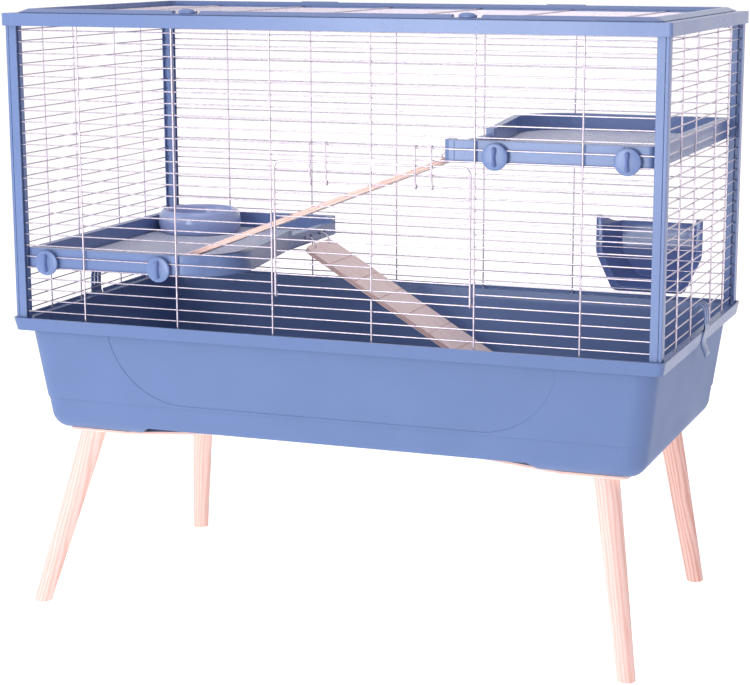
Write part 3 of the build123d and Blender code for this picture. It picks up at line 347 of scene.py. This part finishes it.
def panelMaterial(nodeName):
    low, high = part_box(nodeName)
    side = rampSlopes.get(nodeName, 0)
    slope = side * math.atan2(high.z - low.z, high.x - low.x)
    corner = Vector((high.x if side > 0 else low.x, low.y, low.z))
    return makePlywood(f"poplar plywood, {nodeName.replace('_', ' ')}", slope, corner)


def chooseMaterial(nodeName):
    if nodeName.startswith(("leg_front", "leg_back")):
        return legMaterial(nodeName)
    if nodeName.startswith("leg_board") or nodeName in rampSlopes:
        return panelMaterial(nodeName)
    for words, material in materialWords:
        if any(word in nodeName for word in words):
            return material
    return satin


for nodeName, node in nodes.items():
    node.data.materials.clear()
    node.data.materials.append(chooseMaterial(nodeName))
print("materials on", len(nodes), "frame pieces")


# shelf floors: a fine lattice inside each shelf's rails

shelfFloor = {"pitch": 6.5 * mm, "bar": 2.2 * mm, "thick": 1.6 * mm, "step": 0.35 * mm, "border": 5 * mm,
              "corner": 3 * mm, "bulge": 308.7 * mm, "bulgeCorner": 75.7 * mm, "hookRail": 269.4 * mm,
              "hookY": 44 * mm, "hookCorner": 9 * mm, "leastCorner": 2 * mm}


def roundedOutline(points, radii, steps=10):
    # a closed line with each corner turned into an arc of its own radius
    outline = []
    count = len(points)
    for i, (point, radius) in enumerate(zip(points, radii)):
        here = Vector(point)
        before = (Vector(points[i - 1]) - here).normalized()
        after = (Vector(points[(i + 1) % count]) - here).normalized()
        half = before.angle(after) / 2
        start = here + before * (radius / math.tan(half))
        end = here + after * (radius / math.tan(half))
        centre = here + (before + after).normalized() * (radius / math.sin(half))
        for step in range(steps + 1):
            point = (start.lerp(end, step / steps) - centre).normalized() * radius + centre
            outline.append((point.x, point.y))
    return outline


def crossings(outline, axis, value):
    # where the line across this axis at this value meets the outline
    hits = []
    other = 1 - axis
    for a, b in zip(outline, outline[1:] + outline[:1]):
        if (a[axis] - value) * (b[axis] - value) < 0:
            t = (value - a[axis]) / (b[axis] - a[axis])
            hits.append(a[other] + t * (b[other] - a[other]))
    return sorted(hits)


def makeLattice(name, cadNode, turned):
    # drawn as the lower shelf lies; the upper one is the same moulding turned half round
    low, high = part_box(cadNode)
    sign = -1 if turned else 1
    left = -high.x if turned else low.x
    near, far = (-high.y, -low.y) if turned else (low.y, high.y)
    bulge, right = left + shelfFloor["bulge"], left + shelfFloor["hookRail"]
    corners = [(left, near), (bulge, near), (right, shelfFloor["hookY"]), (right, far), (left, far)]
    radii = [shelfFloor[key] for key in ("corner", "bulgeCorner", "hookCorner", "corner", "corner")]
    outline = roundedOutline(corners, radii)
    work = bmesh.new()
    half = shelfFloor["bar"] / 2
    # the bars along Y, then those along X a step lower, so that no two faces share a plane
    for axis, start, stop, top in ((0, left, bulge, high.z), (1, near, far, high.z - shelfFloor["step"])):
        count = int((stop - start) / shelfFloor["pitch"])
        first = (start + stop) / 2 - count / 2 * shelfFloor["pitch"]
        for i in range(count + 1):
            value = first + i * shelfFloor["pitch"]
            hits = crossings(outline, axis, value)
            if len(hits) < 2:
                continue
            across, along = (value - half, value + half), (hits[0], hits[-1])
            x, y = (across, along) if axis == 0 else (along, across)
            x, y = sorted(sign * v for v in x), sorted(sign * v for v in y)
            addBox(work, (x[0], y[0], top - shelfFloor["thick"]), (x[1], y[1], top))
    # a flat border that the bars run into
    border, middleX, middleY = shelfFloor["border"], (left + right) / 2, (near + far) / 2
    inner = roundedOutline([(x + math.copysign(border, middleX - x), y + math.copysign(border, middleY - y))
                            for x, y in corners], [max(r - border, shelfFloor["leastCorner"]) for r in radii])
    loops = [[(sign * x, sign * y, z) for x, y in line] for line, z in
             ((outline, high.z), (inner, high.z), (inner, low.z), (outline, low.z), (outline, high.z))]
    addRings(work, loops, closeEnds=False)
    bmesh.ops.remove_doubles(work, verts=work.verts, dist=1e-7)
    piece = finishPiece(name, meshFrom(name, work), lattice, "hutch")
    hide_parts(cadNode)


makeLattice("shelf_floor_lower", "shelf_grid_lower", False)
makeLattice("shelf_floor_upper", "shelf_grid_upper", True)
print("shelf floors")


# shelf knobs: a domed disc with a pinched grip

# the disc's profile is (radius, how far out of the disc's face), from its middle round to the stem
knobShape = {"disc": [(0.0, 0.8), (10.12, 0.6), (16.56, 0.08), (17.94, -0.25), (18.4, -1.1), (18.4, -2.9),
                      (17.848, -4.0), (4.4, -4.0)],
             "stem": 4.4 * mm, "collar": 6.7 * mm, "collarThick": 2.3 * mm, "steps": 48, "sections": 18,
             "standOff": 9.0 * mm, "grip": 13.8 * mm, "gripDepth": 8.8 * mm, "endHalf": 4.6 * mm,
             "waistHalf": 2.2 * mm, "sunk": 1.0 * mm, "polishAndShadeFrom": 1.2 * mm}


def makeKnob(nodeName):
    low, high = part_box(nodeName)
    outward = -1 if low.y < 0 else 1
    tip, inner = (low.y, high.y) if outward < 0 else (high.y, low.y)
    k = knobShape
    plate = tip - outward * k["standOff"]
    collar = inner + outward * k["collarThick"]
    centre = (low + high) / 2
    work = bmesh.new()
    profile = [(radius * mm, plate + outward * out * mm) for radius, out in k["disc"]]
    profile += [(k["stem"], collar), (k["collar"], collar), (k["collar"], inner), (0.0, inner)]
    addRings(work, [[(centre.x + radius * math.cos(a), y, centre.z + radius * math.sin(a))
                     for a in circle(k["steps"])] for radius, y in profile], closeEnds=False)
    # the grip: flattened ellipses stacked up the disc, thick at the ends and thin at the waist
    loops = []
    for i in range(k["sections"] + 1):
        t = -1 + 2 * i / k["sections"]
        capped = math.sqrt(max(1 - abs(t) ** 6, 0.0))
        half = (k["waistHalf"] + (k["endHalf"] - k["waistHalf"]) * abs(t) ** 1.5) * max(capped, 0.02)
        depth = k["gripDepth"] * (0.72 + 0.28 * abs(t) ** 1.3) * max(capped, 0.05)
        loops.append([(centre.x + half * math.cos(a), plate + outward * max(depth * math.sin(a), -k["sunk"]),
                       centre.z + t * k["grip"]) for a in circle(16)])
    addRings(work, loops)
    bmesh.ops.remove_doubles(work, verts=work.verts, dist=1e-6)
    name = "grip_" + nodeName
    piece = finishPiece(name, meshFrom(name, work), satin, nodeName, 50)
    # the grip's outer part gets the darker, glossier material: its lower roughness is a polish, and its
    # darker colour is painted shade for the grip's own shading
    piece.data.materials.append(glossy)
    for polygon in piece.data.polygons:
        if outward * (polygon.center.y - plate) > k["polishAndShadeFrom"]:
            polygon.material_index = 1
    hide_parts(nodeName)


for nodeName in sorted(nodes):
    if nodeName.startswith("knob_"):
        makeKnob(nodeName)
print("knobs")


# bowl: a turned-over rim, a bellied wall and a shallow dish

# (radius, height) from the middle of the dish over the rim and back under it
bowlShape = {"profile": [(0.0, 5.2), (30, 5.2), (44, 5.6), (48.5, 8.5), (51.5, 18), (53.6, 30), (54.6, 34.0),
                         (56.6, 36.4), (59.2, 37.0), (61.6, 36.2), (64.0, 33.5), (66.6, 28.0), (68.2, 21.0),
                         (68.5, 15.0), (67.2, 8.0), (64.2, 2.0), (62.8, 0.0), (60.6, 0.0), (61.5, 3.0),
                         (64.3, 9.0), (65.6, 15.0), (65.3, 21.0), (63.8, 27.0), (61.4, 31.8), (59.2, 33.6),
                         (57.4, 32.6), (56.2, 29.5), (54.0, 17.5), (51.0, 6.0), (46.0, 2.8), (0.0, 2.8)],
             "steps": 96}


def makeBowl():
    low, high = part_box("bowl")
    centre = (low + high) / 2
    work = bmesh.new()
    addRings(work, [[(centre.x + radius * mm * math.cos(a), centre.y + radius * mm * math.sin(a),
                      low.z + height * mm) for a in circle(bowlShape["steps"])]
                    for radius, height in bowlShape["profile"]], closeEnds=False)
    bmesh.ops.remove_doubles(work, verts=work.verts, dist=1e-6)
    piece = finishPiece("food_bowl", meshFrom("food_bowl", work), bowlGlossAndPaintedHighlight, "bowl", 60)
    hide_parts("bowl")


makeBowl()
print("bowl")


# hay rack: a thin moulded trough with a flange, its sides swept up to the front

# the eyelet's profile is (radius, how far behind the flange's face)
rackShape = {"wall": 2.0 * mm, "flange": 10 * mm, "taper": 18 * mm, "waist": 62 * mm, "bottomHalf": 58 * mm,
             "backDrop": 15 * mm, "corner": 9 * mm, "stations": 9, "edge": 0.7 * mm, "hangerIn": 1 * mm,
             "eyelet": [(1.3, 2.4), (1.3, 4.6), (2.6, 4.6), (3.4, 3.8), (3.6, 2.4), (1.3, 2.4)],
             "eyeletTall": 1.8}


def roundCorners(points, radius, steps=6):
    # an open line with each inner corner turned into an arc
    line = [points[0]]
    for before, here, after in zip(points, points[1:], points[2:]):
        here = Vector(here)
        back = Vector(before) - here
        ahead = Vector(after) - here
        reach = min(radius, back.length * 0.45, ahead.length * 0.45)
        start, end = here + back.normalized() * reach, here + ahead.normalized() * reach
        for i in range(steps + 1):
            t = i / steps
            line.append(tuple(start * (1 - t) ** 2 + here * 2 * t * (1 - t) + end * t ** 2))
    line.append(points[-1])
    return line


def makeHayRack():
    low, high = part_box("hay_rack")
    r = rackShape
    middle, half = (low.x + high.x) / 2, (high.x - low.x) / 2
    front = low.y + r["wall"] / 2

    def outline(inset, top):
        w, b = half - inset, r["bottomHalf"] - inset
        base, waist = low.z + inset * 0.6 + r["wall"] / 2, high.z - r["waist"]
        corners = [(-w, top), (-w, waist), (-b, base), (b, base), (w, waist), (w, top)]
        return roundCorners(corners, r["corner"])

    work = bmesh.new()
    rows = [(outline(0, high.z), front)]
    for i in range(r["stations"]):
        t = i / (r["stations"] - 1)
        depth = front + t * (high.y - low.y - r["wall"])
        top = high.z - r["backDrop"] * (1 - (1 - t) ** 2)
        rows.append((outline(r["flange"] + t * r["taper"], top), depth))
    loops = [[work.verts.new((middle + x, y, z)) for x, z in line] for line, y in rows]
    for a, b in zip(loops, loops[1:]):
        for i in range(len(a) - 1):
            work.faces.new([a[i], a[i + 1], b[i + 1], b[i]])
    work.faces.new(loops[-1])
    piece = finishPiece("hay_trough", meshFrom("hay_trough", work), glossy, "hutch", 35)
    skin = piece.modifiers.new("wall", "SOLIDIFY")
    skin.thickness, skin.offset = r["wall"], 0
    edge = piece.modifiers.new("edge", "BEVEL")
    edge.width, edge.segments, edge.limit_method = r["edge"], 2, "ANGLE"
    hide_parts("hay_rack")
    # raised eyelets where the hanger's ends come through the flange
    hangerLow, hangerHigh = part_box("hay_rack_hanger")
    work = bmesh.new()
    z = (hangerLow.z + hangerHigh.z) / 2
    for x in (hangerLow.x + r["hangerIn"], hangerHigh.x - r["hangerIn"]):
        addRings(work, [[(x + radius * mm * math.cos(a), low.y + y * mm,
                          z + r["eyeletTall"] * radius * mm * math.sin(a)) for a in circle(20)]
                        for radius, y in r["eyelet"]], closeEnds=False)
    bmesh.ops.remove_doubles(work, verts=work.verts, dist=1e-7)
    finishPiece("hay_trough_eyelets", meshFrom("hay_trough_eyelets", work), glossy, "hutch")


makeHayRack()
print("hay rack")


# side clips: a springy plate with three hooked fingers and a lifting tail

# lines are (out from the rim's edge, up from the rim's top), the barrel's profile (in from its end, radius)
clipShape = {"width": 30 * mm, "thick": 2.2 * mm, "fingers": 3, "gap": 4.4 * mm, "crown": 0.72,
             "tipTaper": 0.55, "edgeRound": 0.8 * mm, "pinIn": 8 * mm, "pinDown": 12.5 * mm,
             "tail": [(3.6, -38), (2.6, -33), (-0.2, -27), (-2.2, -21), (-2.4, -14), (-1.0, -7), (1.0, -1)],
             "finger": [(1.0, -1), (1.6, 8), (1.5, 18), (1.1, 26), (-0.8, 33), (-4.6, 37.4), (-9.0, 38.4),
                        (-12.2, 36.6), (-13.6, 33.6)],
             "root": [(1.0, -1), (1.55, 4), (1.6, 9)], "rootThick": 1.02,
             "web": [(-8.0, -13), (-2.2, -13)], "webIn": 1 * mm, "webThick": 2.4 * mm,
             "barrel": [(0.0, 1.7), (0.0, 3.2), (0.8, 3.9)]}


def addStrip(work, line, nearY, farY, thick, sign, originX, originZ):
    # a bent flat strip, thickest along its middle and thinner at its two ends
    rings = []
    crown = clipShape["crown"]
    for i, (x, z) in enumerate(line):
        before, after = line[max(i - 1, 0)], line[min(i + 1, len(line) - 1)]
        run = Vector((after[0] - before[0], after[1] - before[1])).normalized()
        taper = clipShape["tipTaper"] if i in (0, len(line) - 1) else 1.0
        across = Vector((-run.y, run.x)) * thick / mm / 2 * taper
        rings.append([(originX + sign * (x + across.x * side) * mm, y, originZ + (z + across.y * side) * mm)
                      for side, y in ((1, nearY), (-crown, nearY), (-1, nearY + clipShape["edgeRound"]),
                                      (-1, farY - clipShape["edgeRound"]), (-crown, farY), (1, farY))])
    addRings(work, rings)


def makeClip(nodeName, sign):
    tubLow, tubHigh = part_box("tub")
    edge = tubHigh.x if sign > 0 else tubLow.x
    c = clipShape
    place = (sign, edge, tubHigh.z)
    work = bmesh.new()
    half = c["width"] / 2
    addStrip(work, smoothLine(c["tail"], 5), -half, half, c["thick"], *place)
    finger = (c["width"] - (c["fingers"] - 1) * c["gap"]) / c["fingers"]
    for i in range(c["fingers"]):
        start = -half + i * (finger + c["gap"])
        addStrip(work, smoothLine(c["finger"], 5), start, start + finger, c["thick"], *place)
    addStrip(work, c["root"], -half, half, c["thick"] * c["rootThick"], *place)
    # the barrel on the hinge pin
    pinX, pinZ = edge - sign * c["pinIn"], tubHigh.z - c["pinDown"]
    profile = [(-half + inwards * mm, radius) for inwards, radius in c["barrel"]]
    profile += [(-y, radius) for y, radius in profile[::-1]]
    addRings(work, [[(pinX + radius * mm * math.cos(a), y, pinZ + radius * mm * math.sin(a))
                     for a in circle(24)] for y, radius in profile + profile[:1]], closeEnds=False)
    addStrip(work, c["web"], -half + c["webIn"], half - c["webIn"], c["webThick"], *place)
    bmesh.ops.remove_doubles(work, verts=work.verts, dist=1e-7)
    name = "fingered_" + nodeName
    piece = finishPiece(name, meshFrom(name, work), satin, nodeName, 50)
    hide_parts(nodeName)


makeClip("side_clip_left", -1)
makeClip("side_clip_right", 1)
print("side clips")


# lid latches: a rounded thumb piece on a stem with a tongue

latchShape = {"layers": 10, "squareness": 2.8, "thumbTall": 6.5 * mm, "thumbDeep": 14 * mm,
              "stemHalf": 8 * mm, "plate": 2.6 * mm, "back": 3 * mm, "tongueFrom": 13.5 * mm}


def makeLidLatch(nodeName):
    low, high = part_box(nodeName)
    shape = latchShape
    middle, halfX, halfY = (low.x + high.x) / 2, (high.x - low.x) / 2, shape["thumbDeep"] / 2
    thumbLow, centreY = high.z - shape["thumbTall"], low.y + halfY
    work = bmesh.new()
    rings = []
    power = 2 / shape["squareness"]
    for i in range(shape["layers"] + 1):
        t = i / shape["layers"]
        shrink = max(1 - t ** 3.2, 0.0) ** 0.55
        wide, deep = halfX * (0.25 + 0.75 * shrink), halfY * (0.15 + 0.85 * shrink)
        z = thumbLow + t * (high.z - thumbLow)
        ring = []
        for a in circle(40):
            x, y = math.cos(a), math.sin(a)
            ring.append((middle + wide * math.copysign(abs(x) ** power, x),
                         centreY + deep * math.copysign(abs(y) ** power, y), z))
        rings.append(ring)
    addRings(work, rings)
    # the stem, the leg behind it and the tongue
    left, right = middle - shape["stemHalf"], middle + shape["stemHalf"]
    plate = shape["plate"]
    addBox(work, (left, centreY, thumbLow), (right, high.y, thumbLow + plate))
    addBox(work, (left, high.y - shape["back"], low.z), (right, high.y, thumbLow + plate))
    addBox(work, (left, low.y + shape["tongueFrom"], low.z), (right, high.y, low.z + plate))
    name = "thumb_" + nodeName
    piece = finishPiece(name, meshFrom(name, work), satin, nodeName, 40)
    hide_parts(nodeName)


makeLidLatch("lid_latch_left")
makeLidLatch("lid_latch_right")
print("lid latches")


# moulded joint lines and ribs on the shelves' rails

ribShape = {"wide": 1.3 * mm, "proud": 0.5 * mm, "slope": 0.35 * mm, "up": 1.2 * mm, "down": 1.0 * mm,
            "from": (42 * mm, 98 * mm, 248 * mm, 279 * mm)}


def makeRibs(nodeName, turned):
    low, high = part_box(nodeName)
    work = bmesh.new()
    half, foot = ribShape["wide"] / 2, ribShape["wide"] / 2 + ribShape["slope"]
    bottom, top = low.z + ribShape["up"], high.z - ribShape["down"]
    for distance in ribShape["from"]:
        x = high.x - distance if turned else low.x + distance
        for face, way in ((low.y, -1), (high.y, 1)):
            crest = face + way * ribShape["proud"]
            ring = [(x - foot, face), (x - half, crest), (x + half, crest), (x + foot, face)]
            addRings(work, [[(a, b, z) for a, b in ring] for z in (bottom, top)])
    name = nodeName + "_ribs"
    finishPiece(name, meshFrom(name, work), satin, "hutch", 30)


makeRibs("shelf_lower", False)
makeRibs("shelf_upper", True)
print("shelf ribs")


# camera, floor and lights

studio = {"eye": (1.0791, -2.8361, 1.0), "yaw": 19.757, "pitch": 11.964, "roll": 0.10, "lens": 96.46,
          "shift": (-0.0627, 0.0372), "clipEnd": 100, "floor": "#F0F6F1", "floorRoughness": 0.8,
          "floorGlow": 0.64, "floorHalf": 30.0, "world": 0.50, "mirrored": 1.0, "ambient": "#FFE6F3",
          "keyColour": "#F3FAFF"}

# place, aim, size and power
lights = {"key": ((-0.80, -3.4, 0.95), (0.1, 0, 0.6), (1.1, 1.9), 52.0),
          "side": ((-2.8, -1.6, 1.7), (0, 0, 0.5), (2.0, 2.0), 30.0),
          "fill": ((2.9, -1.2, 1.5), (0.2, 0, 0.5), (1.6, 1.6), 4.0),
          "top": ((0.0, -0.6, 3.2), (0, 0, 0), (2.4, 2.4), 30.0)}


def makeCamera():
    yaw, pitch = math.radians(studio["yaw"]), math.radians(studio["pitch"])
    ahead = Vector((-math.sin(yaw) * math.cos(pitch), math.cos(yaw) * math.cos(pitch), -math.sin(pitch)))
    right = Vector((math.cos(yaw), math.sin(yaw), 0))
    camera = bpy.data.objects.new("camera", bpy.data.cameras.new("camera"))
    turn = Matrix((right, right.cross(ahead), -ahead)).transposed().to_4x4()
    roll = Matrix.Rotation(math.radians(studio["roll"]), 4, "Z")
    camera.matrix_world = Matrix.Translation(studio["eye"]) @ turn @ roll
    camera.data.lens = studio["lens"]
    camera.data.shift_x, camera.data.shift_y = studio["shift"]
    camera.data.clip_end = studio["clipEnd"]
    bpy.context.scene.collection.objects.link(camera)
    bpy.context.scene.camera = camera


def makeFloor():
    # white card with a little glow of its own, so that it stays even
    material, tree, _ = startMaterial("studio floor")
    shader = addNode(tree, "ShaderNodeBsdfPrincipled", inputs={
        "Base Color": linear(studio["floor"]), "Roughness": studio["floorRoughness"],
        "Emission Color": grey(1.0), "Emission Strength": studio["floorGlow"]})
    endMaterial(material, tree, shader)
    work = bmesh.new()
    half = studio["floorHalf"]
    corners = ((-half, -half), (half, -half), (half, half), (-half, half))
    work.faces.new([work.verts.new((x, y, 0)) for x, y in corners])
    mesh = meshFrom("floor", work)
    mesh.materials.append(material)
    floor = bpy.data.objects.new("floor", mesh)
    bpy.context.scene.collection.objects.link(floor)


def makeWorld():
    # soft light on the object, and plain white to the camera and in reflections
    world = bpy.data.worlds.new("studio")
    world.use_nodes = True
    tree = world.node_tree
    tree.nodes.clear()
    seen = addNode(tree, "ShaderNodeLightPath")
    soft = addNode(tree, "ShaderNodeBackground", inputs={"Color": linear(studio["ambient"]),
                                                         "Strength": studio["world"]})
    white = addNode(tree, "ShaderNodeBackground", inputs={"Color": grey(1.0), "Strength": studio["mirrored"]})
    bright = addNode(tree, "ShaderNodeMath", {"operation": "MAXIMUM"},
                     {0: seen.outputs["Is Camera Ray"], 1: seen.outputs["Is Glossy Ray"]})
    both = addNode(tree, "ShaderNodeMixShader", inputs={0: bright.outputs[0], 1: soft.outputs[0],
                                                        2: white.outputs[0]})
    addNode(tree, "ShaderNodeOutputWorld", inputs={"Surface": both.outputs[0]})
    bpy.context.scene.world = world
    bpy.context.scene.view_settings.view_transform = "Standard"


def makeLights():
    for name, (place, aim, size, power) in lights.items():
        data = bpy.data.lights.new(name, "AREA")
        data.shape = "RECTANGLE"
        data.size, data.size_y = size
        data.energy = power
        data.color = linear(studio["keyColour"])[:3]
        lamp = bpy.data.objects.new(name, data)
        lamp.location = place
        lamp.rotation_euler = (Vector(aim) - Vector(place)).to_track_quat("-Z", "Y").to_euler()
        bpy.context.scene.collection.objects.link(lamp)


makeCamera()
makeFloor()
makeWorld()
makeLights()
print("studio")
